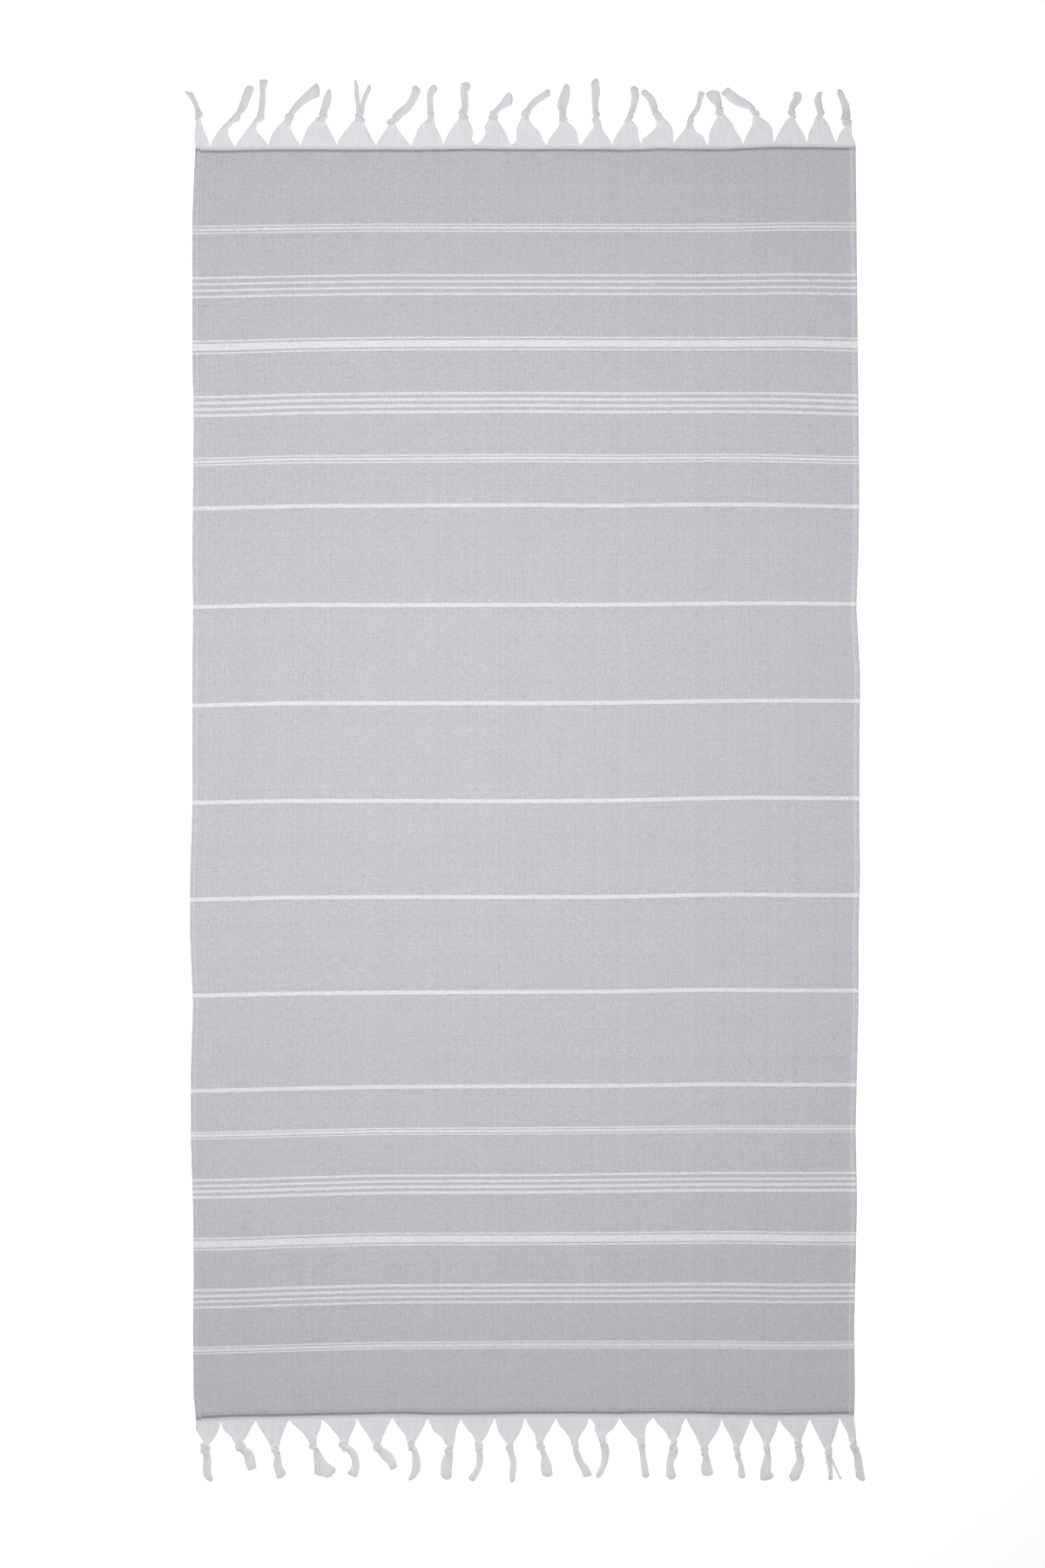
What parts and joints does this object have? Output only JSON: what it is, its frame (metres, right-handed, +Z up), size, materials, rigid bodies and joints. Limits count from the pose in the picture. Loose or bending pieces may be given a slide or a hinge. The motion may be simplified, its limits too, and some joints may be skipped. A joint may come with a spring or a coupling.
{
  "type": "hammam towel",
  "caption": "Flat-woven cotton hammam towel laid out flat: light grey cloth with white cross stripes, sewn side hems and a knotted fringe at both ends.",
  "frame": {"origin": "middle of the towel's footprint, fringes included, on the surface that it lies on", "axes": "+X across the towel, +Y along it towards the end at the top of the picture, +Z up from the surface it lies on"},
  "size_m": [0.9176, 1.9, 0.007],
  "materials": {
    "grey_striped_cotton": "matte plain weave of white warp and grey weft with white weft stripes",
    "white_cotton_yarn": "matte loose cotton yarn, knotted"
  },
  "bodies": {
    "root": {"towel_cloth": "grey_striped_cotton", "fringe_top": "white_cotton_yarn", "fringe_bottom": "white_cotton_yarn"}
  },
  "joints": []
}
